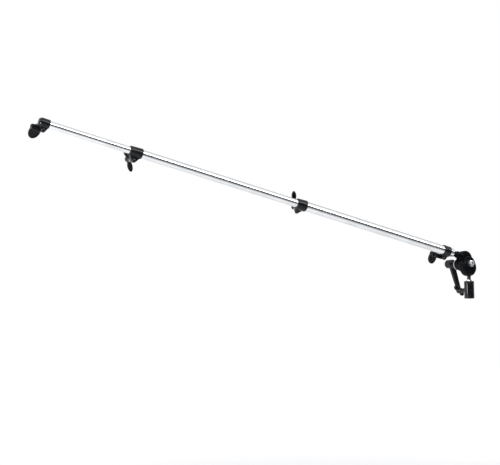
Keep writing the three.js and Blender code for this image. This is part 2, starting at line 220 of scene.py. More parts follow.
black_paint = make_black_paint("black paint", 0.36)
cast_paint = make_black_paint("cast black paint", 0.06)
socket = turned([
    (mouth_edge, socket_r),
    (mouth_edge * corner_share, socket_r - mouth_edge * corner_share),
    (0, socket_r - mouth_edge), (0, socket_bore_r + mouth_edge), (mouth_edge, socket_bore_r),
    (socket_height - socket_top, socket_bore_r), (socket_height - socket_top, stud_r + fit),
    (socket_height, stud_r + fit), (socket_height, socket_r - socket_edge),
    (socket_height - socket_edge * corner_share, socket_r - socket_edge * corner_share),
    (socket_height - socket_edge, socket_r),
], closed=True)
screw_hole = turned([(0, screw_r + fit), (socket_r + overrun, screw_r + fit)])
moved(socket, upright)
cut(socket, moved(screw_hole, Matrix.Translation((0, 0, screw_at))))
stands_for(socket, "stand_socket", black_paint)

# Stud and jam nut: a threaded stud of blackened steel from the socket's top into the head, with a thin
# zinc-plated nut that keeps it from turning. The thread is one ridge wound up the stud.
tilt_joint = next(joint for joint in frame["joints"] if joint["name"] == "head_tilt")
tilt_x = tilt_joint["pos_m"][0] * 1000
tilt_z = tilt_joint["pos_m"][2] * 1000
lobe_r = 25
lobe_drop = 10
stud_in_head = 14
stud_from = socket_height - socket_top + fit
stud_to = tilt_z - lobe_drop - lobe_r + stud_in_head - fit
stud_pitch = 1.5
thread_depth_share = 0.38
jam_nut_across = 14
jam_nut_height = 3
nut_chamfer_share = 0.16
nut_chamfer_slope = 0.6


# Zinc plate: bright, a touch blue, clouded where the bath left it, with fine turning marks
def make_zinc_steel():
    finish, tree, shader, spot = new_finish("zinc plate")
    clouds = noise(tree, spot, 160, 4)
    tone = blended(tree, clouds, (0.58, 0.60, 0.63), (0.74, 0.75, 0.77))
    tree.links.new(tone, shader.inputs["Base Color"])
    shader.inputs["Metallic"].default_value = 1
    tree.links.new(spread(tree, clouds, 0.24, 0.4), shader.inputs["Roughness"])
    relief(tree, shader, noise(tree, spot, 2600, 2), 0.00001, 0.6)
    return finish


# Blackened steel: oily black, rubbed a little brighter here and there
def make_black_oxide():
    finish, tree, shader, spot = new_finish("black oxide")
    rubbed = noise(tree, spot, 320, 4)
    tone = blended(tree, rubbed, (0.006, 0.006, 0.007), (0.016, 0.016, 0.017), 0.45, 0.8)
    tree.links.new(tone, shader.inputs["Base Color"])
    tree.links.new(spread(tree, rubbed, 0.42, 0.3), shader.inputs["Roughness"])
    relief(tree, shader, noise(tree, spot, 2600, 2), 0.00001, 0.6)
    return finish


# Tree that winds a thread's ridge up Z, from its radius, pitch, length and depth
def make_thread_tree():
    tree = bpy.data.node_groups.new("thread", "GeometryNodeTree")
    sides = tree.interface
    sides.new_socket("Geometry", in_out="INPUT", socket_type="NodeSocketGeometry")
    for title in ("Radius", "Pitch", "Length", "Depth"):
        sides.new_socket(title, in_out="INPUT", socket_type="NodeSocketFloat")
    sides.new_socket("Material", in_out="INPUT", socket_type="NodeSocketMaterial")
    sides.new_socket("Geometry", in_out="OUTPUT", socket_type="NodeSocketGeometry")
    given = tree.nodes.new("NodeGroupInput")
    turns = tree.nodes.new("ShaderNodeMath")
    turns.operation = "DIVIDE"
    path = tree.nodes.new("GeometryNodeCurveSpiral")
    path.inputs["Resolution"].default_value = 32
    ridge = tree.nodes.new("GeometryNodeCurvePrimitiveCircle")
    ridge.inputs["Resolution"].default_value = 4
    swept = tree.nodes.new("GeometryNodeCurveToMesh")
    swept.inputs["Fill Caps"].default_value = True
    real = tree.nodes.new("GeometryNodeRealizeInstances")
    finish = tree.nodes.new("GeometryNodeSetMaterial")
    result = tree.nodes.new("NodeGroupOutput")
    tree.links.new(given.outputs["Length"], turns.inputs[0])
    tree.links.new(given.outputs["Pitch"], turns.inputs[1])
    tree.links.new(turns.outputs[0], path.inputs["Rotations"])
    tree.links.new(given.outputs["Radius"], path.inputs["Start Radius"])
    tree.links.new(given.outputs["Radius"], path.inputs["End Radius"])
    tree.links.new(given.outputs["Length"], path.inputs["Height"])
    tree.links.new(given.outputs["Depth"], ridge.inputs["Radius"])
    tree.links.new(path.outputs["Curve"], swept.inputs["Curve"])
    tree.links.new(ridge.outputs["Curve"], swept.inputs["Profile Curve"])
    tree.links.new(swept.outputs["Mesh"], real.inputs["Geometry"])
    tree.links.new(real.outputs["Geometry"], finish.inputs["Geometry"])
    tree.links.new(given.outputs["Material"], finish.inputs["Material"])
    tree.links.new(finish.outputs["Geometry"], result.inputs["Geometry"])
    return tree


zinc_steel = make_zinc_steel()
black_oxide = make_black_oxide()
thread_tree = make_thread_tree()
socket_ids = {}
for item in thread_tree.interface.items_tree:
    if item.in_out == "INPUT":
        socket_ids[item.name] = item.identifier


# A thread's ridge along Y, whose crest stands at the bolt's radius
def thread(crest_r, pitch, start, end):
    depth = pitch * thread_depth_share
    made = as_object(bmesh.new())
    winding = made.modifiers.new("thread", "NODES")
    winding.node_group = thread_tree
    sizes = {"Radius": crest_r - depth, "Pitch": pitch, "Length": end - start, "Depth": depth}
    for title, size in sizes.items():
        winding[socket_ids[title]] = float(size)
    winding[socket_ids["Material"]] = zinc_steel
    settled(made)
    moved(made, Matrix.Translation((0, start, 0)) @ upright.inverted())
    return made


# Several objects as one
def joined(*pieces):
    shape = bmesh.new()
    for piece in pieces:
        shape.from_mesh(piece.data)
        bpy.data.objects.remove(piece)
    return as_it_is(shape)


# A threaded rod along Y with pointed-off ends and its ridge
def threaded_rod(radius, pitch, start, end, thread_from, thread_to):
    root_r = radius - pitch * thread_depth_share
    ease = pitch / 2
    rod = turned([
        (start, root_r - ease), (start + ease, root_r), (end - ease, root_r), (end, root_r - ease),
    ], sides=thin_sides)
    return joined(rod, thread(radius, pitch, thread_from, thread_to))


# A hexagonal nut along Y, its corners turned off at both ends
def hex_nut(start, end, across, bore_r):
    corner_r = across / 2 / math.cos(math.pi / 6)
    ease = across * nut_chamfer_share / 2
    slope = ease * nut_chamfer_slope
    hexagon = turned([(start, corner_r), (end, corner_r)], sides=6)
    blank = turned([
        (start, corner_r - ease), (start + slope, corner_r), (end - slope, corner_r),
        (end, corner_r - ease),
    ])
    bore = turned([(start - overrun, bore_r), (end + overrun, bore_r)], sides=thin_sides)
    return cut(cut(hexagon, blank, way="INTERSECT"), bore)


jam_nut_from = socket_height + fit
thread_to = stud_to - stud_in_head / 2
stud = threaded_rod(stud_r, stud_pitch, stud_from, stud_to, jam_nut_from, thread_to)
stands_for(stud, "head_stud", black_oxide, upright)
jam_nut = hex_nut(jam_nut_from, jam_nut_from + jam_nut_height, jam_nut_across, stud_r + fit)
stands_for(jam_nut, "stud_nut", zinc_steel, upright)

# Lower half of the head: an egg-shaped casting in black paint with a raised rim on its front, bored for
# the stud below. The axle bolt runs through it, with a zinc nut on the seat in front.
core_r = 21
head_depth = 16
head_round = 2
rim_width = 3
rim_height = 0.9
nut_seat_r = 12
nut_seat_height = 0.8
nut_seat_edge = 0.4
axle_r = 5
axle_past_nut = 2
axle_pitch = 1.25
tilt_nut_across = 17
tilt_nut_height = 8
cast_voxel = 0.6
cast_rounds = 5
at_tilt = Matrix.Translation((tilt_x, 0, tilt_z))
base_front = -head_depth / 2
nut_seat_to = base_front - nut_seat_height


# Points of two circles joined by their tangents, the first at the centre and the second above it
def egg(low_r, high_r, distance, steps=40):
    lean = math.asin((low_r - high_r) / distance)
    below = [math.pi - lean + (math.pi + 2 * lean) * i / steps for i in range(steps + 1)]
    above = [lean + (math.pi - 2 * lean) * i / steps for i in range(steps + 1)]
    points = [(low_r * math.cos(a), low_r * math.sin(a)) for a in below]
    points += [(high_r * math.cos(a), distance + high_r * math.sin(a)) for a in above]
    return points


# A prism along Y over points in X and Z, with its edges rounded
def prism(points, start, end, edge=0.0):
    shape = bmesh.new()
    front = [shape.verts.new((x, start, z)) for x, z in points]
    back = [shape.verts.new((x, end, z)) for x, z in points]
    shape.faces.new(front)
    shape.faces.new(back)
    for i in range(len(points)):
        k = (i + 1) % len(points)
        shape.faces.new((front[i], front[k], back[k], back[i]))
    made = as_object(shape)
    if edge:
        bevel = made.modifiers.new("edge", "BEVEL")
        bevel.width = edge
        bevel.segments = 4
        bevel.angle_limit = math.radians(50)
        settled(made)
    return made


# Overlapping solids flowed together as one casting or moulding, with soft edges
def moulded(solids, voxel, rounds):
    made = joined(*solids)
    flow = made.modifiers.new("flow", "REMESH")
    flow.mode = "VOXEL"
    flow.voxel_size = voxel
    soften = made.modifiers.new("soften", "SMOOTH")
    soften.factor = 0.5
    soften.iterations = rounds
    return settled(made)


half_turn = Matrix.Rotation(math.pi, 4, "Y")
base_outline = egg(core_r, lobe_r, lobe_drop)
base_plate = moved(prism(base_outline, base_front, -base_front, head_round), half_turn)
panel_outline = egg(core_r - rim_width, lobe_r - rim_width, lobe_drop)
panel = moved(prism(panel_outline, base_front - overrun, base_front + rim_height), half_turn)
nut_seat = turned([
    (nut_seat_to, nut_seat_r - nut_seat_edge), (nut_seat_to + nut_seat_edge, nut_seat_r),
    (0, nut_seat_r),
])
head_base = moulded([cut(base_plate, panel), nut_seat], cast_voxel, cast_rounds)
underside = -lobe_drop - lobe_r
stud_hole = turned([(underside - overrun, stud_r + fit), (underside + stud_in_head, stud_r + fit)])
moved(stud_hole, Matrix.Translation((-tilt_x, 0, 0)) @ upright)
axle_hole = turned([(nut_seat_to - overrun, axle_r + fit), (-base_front + overrun, axle_r + fit)])
cut(head_base, stud_hole, axle_hole)
stands_for(head_base, "head_base", cast_paint, at_tilt)

tilt_nut_to = nut_seat_to - fit
tilt_nut_from = tilt_nut_to - tilt_nut_height
tilt_nut = hex_nut(tilt_nut_from, tilt_nut_to, tilt_nut_across, axle_r + fit)
stands_for(tilt_nut, "tilt_nut", zinc_steel, at_tilt)

# Upper half of the head: a second egg-shaped casting behind the first, with a neck that ends in the
# spigot of the outer tube, and a long boss behind. A fibre disc lies between the halves.
disc_thickness = 1.4
yoke_depth = 17
yoke_lobe_r = 23
yoke_lobe_rise = 15.5
arm_above_tilt = 21.3
neck_boss_r = 10
neck_boss_from = 12
neck_boss_to = 30
neck_r = 8
neck_edge = 1
tube_wall = 1.2
outer_tube_r = 12.5
outer_tube_from = 47
spigot_length = 24
back_boss_r = 13
back_boss_height = 13
washer_r = 16
washer_thickness = 2.5
washer_edge = 0.4
yoke_front = -base_front + fit + disc_thickness + fit
yoke_back = yoke_front + yoke_depth
back_boss_to = yoke_back + back_boss_height
arm_y = (yoke_front + yoke_back) / 2
outwards = Matrix.Rotation(math.pi / 2, 4, "Z")
slide_joint = next(joint for joint in frame["joints"] if joint["name"] == "middle_slide")
arm_rise = math.atan2(slide_joint["axis"][2], -slide_joint["axis"][0])
raised = at_tilt @ Matrix.Rotation(arm_rise, 4, "Y")
on_arm = Matrix.Translation((0, arm_y, arm_above_tilt))


# Fibre: dull grey, speckled, with a fuzzy grain
def make_grey_fibre():
    finish, tree, shader, spot = new_finish("grey fibre")
    speckle = noise(tree, spot, 2200, 3, 0.7)
    tone = blended(tree, speckle, (0.055, 0.055, 0.060), (0.13, 0.13, 0.14))
    tree.links.new(tone, shader.inputs["Base Color"])
    shader.inputs["Roughness"].default_value = 0.85
    relief(tree, shader, speckle, 0.0001)
    return finish


spigot_r = outer_tube_r - tube_wall - fit
neck = turned([
    (outer_tube_from + spigot_length, spigot_r - neck_edge),
    (outer_tube_from + spigot_length - neck_edge, spigot_r),
    (outer_tube_from - fit, spigot_r),
    (outer_tube_from - fit, neck_r),
    (neck_boss_to, neck_r),
    (neck_boss_to, neck_boss_r - neck_edge),
    (neck_boss_to - neck_edge, neck_boss_r),
    (neck_boss_from, neck_boss_r),
])
back_boss = turned([
    (yoke_back - head_round, back_boss_r), (back_boss_to - neck_edge, back_boss_r),
    (back_boss_to, back_boss_r - neck_edge),
])
yoke_plate = prism(egg(core_r, yoke_lobe_r, yoke_lobe_rise), yoke_front, yoke_back, head_round)
yoke = moulded([yoke_plate, moved(neck, on_arm @ outwards), back_boss], cast_voxel, cast_rounds)
cut(yoke, turned([(yoke_front - overrun, axle_r + fit), (back_boss_to + overrun, axle_r + fit)]))
stands_for(yoke, "head_yoke", cast_paint, raised)
grey_fibre = make_grey_fibre()
frame["nodes"]["friction_disc"].material_slots[0].material = grey_fibre


# A washer along Y with its edges broken
def washer(start, thickness, radius, bore_r, edge):
    end = start + thickness
    return turned([
        (start, bore_r), (start, radius - edge), (start + edge, radius),
        (end - edge, radius), (end, radius - edge), (end, bore_r),
    ], closed=True)


lever_washer = washer(back_boss_to + fit, washer_thickness, washer_r, axle_r + fit, washer_edge)
stands_for(lever_washer, "lever_washer", zinc_steel, raised)

# Lock lever: a moulded black lever on a long hub, set on the axle's end behind the head. The hub's
# outer half is thicker and stands off the axle, and the arm has a groove down both faces.
lever_foot = back_boss_to + fit + washer_thickness + fit
lever_turn = math.radians(161)
lever_neck_r = 8.5
lever_hub_r = 12.4
lever_hub_off = 4
lever_hub_from = 16
lever_hub_shoulder = 3
lever_height = 46
lever_dome = 7
lever_arm_at = 25
lever_arm_thickness = 10
lever_root_r = 9
lever_tip_r = 6
lever_reach = 75
lever_edge = 2.2
lever_groove = 1.4
lever_rim = 3
lever_groove_from = 19
lever_insert_r = 7
lever_insert_length = 20
axle_in_lever = 18
foot_edge = 0.8
mould_voxel = 0.55
mould_rounds = 5


# Moulded plastic: fine spark-eroded grain, and a slight polish where it is handled
def make_black_plastic():
    finish, tree, shader, spot = new_finish("black plastic")
    patches = noise(tree, spot, 60, 4)
    tone = blended(tree, patches, (0.003, 0.0034, 0.0045), (0.006, 0.0066, 0.008))
    tree.links.new(tone, shader.inputs["Base Color"])
    shader.inputs["Specular IOR Level"].default_value = 0.26
    tree.links.new(spread(tree, patches, 0.17, 0.27), shader.inputs["Roughness"])
    relief(tree, shader, noise(tree, spot, 1500, 3, 0.6), 0.00002, 0.4)
    return finish


# Stations of a domed end, from its full radius to a small flat at the tip
def dome(start, height, radius, steps=10):
    angles = [math.pi / 2 * i / (steps + 1) for i in range(steps + 1)]
    return [(start + height * math.sin(a), radius * math.cos(a)) for a in angles]


black_plastic = make_black_plastic()
lever_neck = turned([
    (0, lever_neck_r - foot_edge), (foot_edge, lever_neck_r), (lever_arm_at, lever_neck_r),
])
lever_hub = turned([
    (lever_hub_from, lever_neck_r), (lever_hub_from + lever_hub_shoulder, lever_hub_r),
    *dome(lever_height - lever_dome, lever_dome, lever_hub_r),
])
moved(lever_hub, Matrix.Translation((0, 0, -lever_hub_off)))
arm_front = lever_arm_at - lever_arm_thickness / 2
arm_back = lever_arm_at + lever_arm_thickness / 2
lever_arm = prism(egg(lever_root_r, lever_tip_r, lever_reach), arm_front, arm_back, lever_edge)
groove = egg(lever_root_r - lever_rim, lever_tip_r - lever_rim, lever_reach - lever_groove_from)
front_groove = prism(groove, arm_front - overrun, arm_front + lever_groove)
back_groove = prism(groove, arm_back - lever_groove, arm_back + overrun)
down_arm = Matrix.Translation((0, 0, lever_groove_from))
cut(lever_arm, moved(front_groove, down_arm), moved(back_groove, down_arm))
lever = moulded([lever_neck, lever_hub, lever_arm], mould_voxel, mould_rounds)
insert_r = lever_insert_r + fit
cut(lever, turned([(-overrun, insert_r), (lever_insert_length + fit, insert_r)]))
at_lever = at_tilt @ Matrix.Translation((0, lever_foot, 0)) @ Matrix.Rotation(lever_turn, 4, "Y")
stands_for(lever, "lock_lever", black_plastic, at_lever)
frame["nodes"]["lock_lever_insert"].material_slots[0].material = zinc_steel
axle = threaded_rod(axle_r, axle_pitch, tilt_nut_from - axle_past_nut, lever_foot + axle_in_lever,
                    tilt_nut_from - axle_past_nut + axle_pitch / 2, tilt_nut_to)
stands_for(axle, "tilt_axle", zinc_steel, at_tilt)

# Telescopic tubes: three drawn aluminium tubes, bright, that run one inside the other. White plastic
# guides on the inner ends of the thinner two centre them, and a black cap closes the thinnest.
middle_tube_r = 10.5
inner_tube_r = 8.5
outer_tube_length = 516
middle_tube_length = 512
inner_tube_length = 512
middle_in_outer = 39
inner_in_middle = 275
tube_edge = 0.25
tube_sides = 128
cap_height = 3
cap_edge = 0.9
cap_spigot = 14
outer_tube_to = outer_tube_from + outer_tube_length
middle_tube_from = outer_tube_to - middle_in_outer
middle_tube_to = middle_tube_from + middle_tube_length
inner_tube_from = middle_tube_to - inner_in_middle
inner_tube_to = inner_tube_from + inner_tube_length
arm = raised @ on_arm


# Drawn aluminium: fine lines along the tube, and a slow change in how sharply it reflects
def make_bright_tube():
    finish, tree, shader, spot = new_finish("bright tube")
    along = tree.nodes.new("ShaderNodeMapping")
    along.vector_type = "TEXTURE"
    along.inputs["Rotation"].default_value = (0, arm_rise, 0)
    along.inputs["Scale"].default_value = (0.25, 0.0012, 0.0012)
    tree.links.new(spot, along.inputs["Vector"])
    lines = noise(tree, along.outputs["Vector"], 1, 3, 0.6)
    patches = noise(tree, spot, 28, 4)
    tone = blended(tree, patches, (0.74, 0.76, 0.77), (0.84, 0.85, 0.86))
    tree.links.new(tone, shader.inputs["Base Color"])
    shader.inputs["Metallic"].default_value = 1
    tree.links.new(spread(tree, patches, 0.09, 0.15), shader.inputs["Roughness"])
    relief(tree, shader, lines, 0.00001, 0.5)
    return finish


# Guide plastic: off-white, waxy, with faint rub marks
def make_guide_white():
    finish, tree, shader, spot = new_finish("guide plastic")
    rubbed = noise(tree, spot, 240, 4)
    tone = blended(tree, rubbed, (0.62, 0.62, 0.59), (0.74, 0.74, 0.72))
    tree.links.new(tone, shader.inputs["Base Color"])
    shader.inputs["Roughness"].default_value = 0.5
    relief(tree, shader, noise(tree, spot, 1200, 2), 0.00003, 0.5)
    return finish


# A tube along the arm with its two ends eased
def drawn_tube(start, end, radius):
    bore_r = radius - tube_wall
    return turned([
        (start, bore_r + tube_edge), (start, radius - tube_edge), (start + tube_edge, radius),
        (end - tube_edge, radius), (end, radius - tube_edge), (end, bore_r + tube_edge),
        (end - tube_edge, bore_r), (start + tube_edge, bore_r),
    ], closed=True, sides=tube_sides)


bright_tube = make_bright_tube()
guide_white = make_guide_white()
outer_tube = drawn_tube(outer_tube_from, outer_tube_to, outer_tube_r)
middle_tube = drawn_tube(middle_tube_from, middle_tube_to, middle_tube_r)
inner_tube = drawn_tube(inner_tube_from, inner_tube_to, inner_tube_r)
stands_for(outer_tube, "outer_tube", bright_tube, arm @ outwards)
stands_for(middle_tube, "middle_tube", bright_tube, arm @ outwards)
stands_for(inner_tube, "inner_tube", bright_tube, arm @ outwards)
for guide in ("middle_guide", "inner_guide"):
    frame["nodes"][guide].material_slots[0].material = guide_white
cap_face = inner_tube_to + fit
end_cap = turned([
    (cap_face - cap_spigot, inner_tube_r - tube_wall - fit), (cap_face, inner_tube_r - tube_wall - fit),
    (cap_face, inner_tube_r), (cap_face + cap_height - cap_edge, inner_tube_r),
    (cap_face + cap_height - cap_edge * corner_share, inner_tube_r - cap_edge * corner_share),
    (cap_face + cap_height, inner_tube_r - cap_edge),
])
stands_for(end_cap, "end_cap", black_plastic, arm @ outwards)

# Clamp collars: four moulded black collars, each split below between two ears that its bolt draws
# together. The lock collars seat on one tube and taper to their mouth, which closes on the next tube.
# The rim clamps hold one tube.
collar_wall = 2.5
collar_edge = 0.9
lock_taper = 1.2
slit_width = 3
eye_r = 5.6
ear_face = 6.5
ear_shoulder_share = 0.55
ear_edge = 0.8
bolt_r = 3
bolt_head_r = 4.6
head_recess = 2
tube_past_middle = 2
lock_drop = 7
rim_drop = 5
bolt_washer_r = 6.2
bolt_washer_thickness = 1.2
plate_thickness = 4
rim_gap = 8
collar_voxel = 0.45
collar_rounds = 4
lock_foot = ear_face + fit + bolt_washer_thickness + fit
rim_seat_from = ear_face + fit
rim_seat_to = rim_seat_from + plate_thickness
rim_jaw_from = rim_seat_to + rim_gap
rim_jaw_to = rim_jaw_from + plate_thickness
rim_foot = rim_jaw_to + fit + bolt_washer_thickness + fit


# The place of a clamp: X along the tube, Y along its bolt, with the tube's axis at the origin
def clamp_place(name, foot, bolt_drop):
    turn = next(joint for joint in frame["joints"] if joint["name"] == f"{name}_knob_turn")
    across = Vector(turn["axis"]).normalized()
    along = -Vector(slide_joint["axis"]).normalized()
    above = along.cross(across).normalized()
    centre = Vector(turn["pos_m"]) * 1000 - across * foot + above * bolt_drop
    return Matrix.Translation(centre) @ Matrix((along, across, above)).transposed().to_4x4()


# Outline of the ears: as long as the collar at the ring, drawn in to a round eye at the bolt
def ear_outline(length, shoulder, bolt_drop, steps=24):
    half = length / 2
    bearing = math.atan2(bolt_drop - shoulder, half)
    tangent = bearing - math.acos(eye_r / math.hypot(half, bolt_drop - shoulder))
    sweep = [math.pi - tangent + (math.pi + 2 * tangent) * i / steps for i in range(steps + 1)]
    eye = [(eye_r * math.cos(a), eye_r * math.sin(a) - bolt_drop) for a in sweep]
    return [(-half, 0), (-half, -shoulder), *eye, (half, -shoulder), (half, 0)]


# A collar along X with its ring, its ears, its slit and its bores
def collar(length, seat_r, mouth_r, bolt_drop):
    ring_r = seat_r + collar_wall
    mouth_ring_r = ring_r - (lock_taper if mouth_r < seat_r else 0)
    half = length / 2
    ring = turned([
        (-half, ring_r - collar_edge), (-half + collar_edge, ring_r),
        (half - collar_edge, mouth_ring_r), (half, mouth_ring_r - collar_edge),
    ])
    outline = ear_outline(length, ring_r * ear_shoulder_share, bolt_drop)
    ears = prism(outline, -ear_face, ear_face, ear_edge)
    made = moulded([moved(ring, outwards), ears], collar_voxel, collar_rounds)
    mouth = turned([(-half - overrun, mouth_r + fit), (half + overrun, mouth_r + fit)])
    seat = turned([(-half - overrun, seat_r + fit), (tube_past_middle + fit, seat_r + fit)])
    slit_x = half + overrun
    slit_low = -bolt_drop - eye_r - overrun
    slit_outline = [(-slit_x, slit_low), (slit_x, slit_low), (slit_x, 0), (-slit_x, 0)]
    slit = prism(slit_outline, -slit_width / 2, slit_width / 2)
    before = -ear_face - overrun
    bolt_hole = turned([(before, bolt_r + fit), (ear_face + overrun, bolt_r + fit)])
    head_hole = turned([(before, bolt_head_r + fit), (-ear_face + head_recess, bolt_head_r + fit)])
    at_bolt = Matrix.Translation((0, 0, -bolt_drop))
    return cut(made, moved(mouth, outwards), moved(seat, outwards), slit,
               moved(bolt_hole, at_bolt), moved(head_hole, at_bolt))


# The place of a clamp's bolt, with the tube's axis above the origin
def bolt_place(name):
    *_, bolt_drop, foot = clamps[name]
    return clamp_place(name, foot, bolt_drop) @ Matrix.Translation((0, 0, -bolt_drop))


# Each clamp: its collar's length, the radii that it seats on and closes on, its bolt's drop below the
# tube's axis, and where its knob's foot is on the bolt
root_drop = outer_tube_r + collar_wall + rim_drop
outer_lock_drop = outer_tube_r + collar_wall + lock_drop
inner_lock_drop = middle_tube_r + collar_wall + lock_drop
end_drop = inner_tube_r + collar_wall + rim_drop
clamps = {
    "root": (22.5, outer_tube_r, outer_tube_r, root_drop, rim_foot),
    "outer_lock": (28, outer_tube_r, middle_tube_r, outer_lock_drop, lock_foot),
    "inner_lock": (32, middle_tube_r, inner_tube_r, inner_lock_drop, lock_foot),
    "end": (22, inner_tube_r, inner_tube_r, end_drop, rim_foot),
}
for name, (length, seat_r, mouth_r, bolt_drop, foot) in clamps.items():
    made = collar(length, seat_r, mouth_r, bolt_drop)
    stands_for(made, f"{name}_collar", black_plastic, clamp_place(name, foot, bolt_drop))

# Clamp bolts and washers: button-head bolts of blackened steel with a hexagonal socket, sunk in the
# front ear, that end in the brass insert of the knob. A zinc-plated washer lies under each knob.
bolt_head_height = 3.4
bolt_head_side = 1
bolt_head_flat = 2.4
key_across = 3.2
key_depth = 1.9
bolt_pitch = 1
bolt_in_knob = 19
washer_break = 0.15


# A bolt along Y from its sunk head to its end in the knob
def clamp_bolt(knob_foot):
    seat = -ear_face + head_recess - fit
    rise = dome(bolt_head_side, bolt_head_height - bolt_head_side, bolt_head_r)
    crown = [(seat - along, radius) for along, radius in reversed(rise)]
    head = turned([(seat - bolt_head_height, bolt_head_flat), *crown[1:], (seat, bolt_head_r)])
    key_r = key_across / 2 / math.cos(math.pi / 6)
    key_at = seat - bolt_head_height
    key = turned([(key_at - overrun, key_r), (key_at + key_depth, key_r)], sides=6)
    end = knob_foot + bolt_in_knob
    shank = threaded_rod(bolt_r, bolt_pitch, seat - fit, end, ear_face, end - bolt_pitch)
    return joined(cut(head, key), shank)


for name, (*_, foot) in clamps.items():
    washer_from = foot - fit - bolt_washer_thickness
    made = washer(washer_from, bolt_washer_thickness, bolt_washer_r, bolt_r + fit, washer_break)
    stands_for(clamp_bolt(foot), f"{name}_bolt", black_oxide, bolt_place(name))
    stands_for(made, f"{name}_washer", zinc_steel, bolt_place(name))

# Wing knobs: five moulded black knobs, whose wings are cored on the side that faces the clamp. The lock
# knobs and the socket's have two narrow oval wings, and the rim clamps' have one broad lobe, whose oval
# reaches past the hub. A threaded brass insert sits in the foot of each.
stem_r = 6
hub_r = 8
hub_from = 17
hub_shoulder = 4
knob_height = 35
knob_dome = 4
knob_bore_depth = 28
knob_dimple_r = 3.2
knob_dimple_depth = 0.7
wing_height = 26
wing_thickness = 7
wing_rise = math.radians(10)
wing_edge = 1.6
wing_rim = 2.4
wing_recess = 3.2
knob_insert_r = 4.5
knob_insert_length = 12


# Brass: warm, dulled here and there, with turning marks
def make_insert_brass():
    finish, tree, shader, spot = new_finish("insert brass")
    dulled = noise(tree, spot, 300, 4)
    tone = blended(tree, dulled, (0.42, 0.31, 0.14), (0.62, 0.48, 0.24))
    tree.links.new(tone, shader.inputs["Base Color"])
    shader.inputs["Metallic"].default_value = 1
    tree.links.new(spread(tree, dulled, 0.3, 0.5), shader.inputs["Roughness"])
    relief(tree, shader, noise(tree, spot, 2400, 2), 0.00001, 0.6)
    return finish


# Points of an oval
def oval(half_x, half_z, steps=56):
    bearings = [2 * math.pi * i / steps for i in range(steps)]
    return [(half_x * math.cos(a), half_z * math.sin(a)) for a in bearings]


# A wing from its root to its reach along X, turned to one side of the knob
def knob_wing(root_at, reach, width, side):
    half = (reach - root_at) / 2
    under = -wing_thickness / 2
    made = prism(oval(half, width / 2), under, -under, wing_edge)
    core = prism(oval(half - wing_rim, width / 2 - wing_rim), under - overrun, under + wing_recess)
    lifted = Matrix.Translation((0, wing_height, 0)) @ Matrix.Rotation(wing_rise, 4, "Z")
    return moved(cut(made, core), side @ lifted @ Matrix.Translation((root_at + half, 0, 0)))


# A knob along Y with a stem, a domed hub and its wings
def wing_knob(count, root_at, reach, width):
    body = turned([
        (0, stem_r - foot_edge), (foot_edge, stem_r),
        (hub_from, stem_r), (hub_from + hub_shoulder, hub_r),
        *dome(knob_height - knob_dome, knob_dome, hub_r),
    ])
    wings = [knob_wing(root_at, reach, width, side) for side in (half_turn, Matrix())[:count]]
    made = moulded([body, *wings], mould_voxel, mould_rounds)
    hole_r = knob_insert_r + fit
    insert_hole = turned([(-overrun, hole_r), (knob_insert_length + fit, hole_r)])
    bolt_hole = turned([(-overrun, bolt_r + fit), (knob_bore_depth, bolt_r + fit)])
    dimple = turned([
        (knob_height - knob_dimple_depth, knob_dimple_r), (knob_height + overrun, knob_dimple_r),
    ])
    return cut(made, insert_hole, bolt_hole, dimple)


# Kinds of knob: how many wings, where their root is, how far they reach and how wide they are
lock_wings = (2, 4, 32, 12.5)
rim_lobe = (1, -6, 30, 26)
socket_wings = (2, 4, 20, 13)
insert_brass = make_insert_brass()
blanks = {kind: wing_knob(*kind) for kind in (lock_wings, rim_lobe, socket_wings)}

# Each knob's kind, and how far it is turned on its bolt, in degrees
knobs = {
    "root": (rim_lobe, -108),
    "outer_lock": (lock_wings, 60),
    "inner_lock": (lock_wings, 57),
    "end": (rim_lobe, -72),
    "socket": (socket_wings, 39),
}
for name, (kind, spin) in knobs.items():
    if name == "socket":
        at_foot = Matrix.Translation((0, socket_r + fit, screw_at))
    else:
        at_foot = bolt_place(name) @ Matrix.Translation((0, clamps[name][-1], 0))
    place = at_foot @ Matrix.Rotation(math.radians(spin), 4, "Y")
    stands_for(linked(blanks[kind].data.copy()), f"{name}_knob", black_plastic, place)
    frame["nodes"][f"{name}_knob_insert"].material_slots[0].material = insert_brass
for blank in blanks.values():
    bpy.data.objects.remove(blank)
screw_to = socket_r + fit + bolt_in_knob
socket_screw = threaded_rod(screw_r, bolt_pitch, socket_bore_r + fit, screw_to,
                            socket_bore_r + bolt_pitch, screw_to - bolt_pitch)
stands_for(socket_screw, "socket_screw", zinc_steel, Matrix.Translation((0, 0, screw_at)))

# Rim plates: on the two rim clamps a fixed seat and a sliding jaw, moulded in black, ride on the bolt.
# Half of a round seat is cut across the inner face of each.
plate_r = 6
plate_tip_r = 6.6
plate_tip_at = 18
plate_edge = 0.8
rim_r = 6.2
rim_at = 14


# A plate around the bolt, along -X, with its round seat
def rim_plate(start, end, seat_at):
    made = prism(egg(plate_r, plate_tip_r, plate_tip_at), start, end, plate_edge)
    moved(made, Matrix.Rotation(-math.pi / 2, 4, "Y"))
    bolt = turned([(start - overrun, bolt_r + fit), (end + overrun, bolt_r + fit)])
    seat = turned([(-plate_tip_r - overrun, rim_r), (plate_tip_r + overrun, rim_r)])
    moved(seat, Matrix.Translation((-rim_at, seat_at, 0)) @ upright)
    return cut(made, bolt, seat)


seat_at = (rim_seat_to + rim_jaw_from) / 2
for name in ("root", "end"):
    seat_plate = rim_plate(rim_seat_from, rim_seat_to, seat_at)
    jaw_plate = rim_plate(rim_jaw_from, rim_jaw_to, seat_at)
    stands_for(seat_plate, f"{name}_rim_seat", black_plastic, bolt_place(name))
    stands_for(jaw_plate, f"{name}_rim_jaw", black_plastic, bolt_place(name))

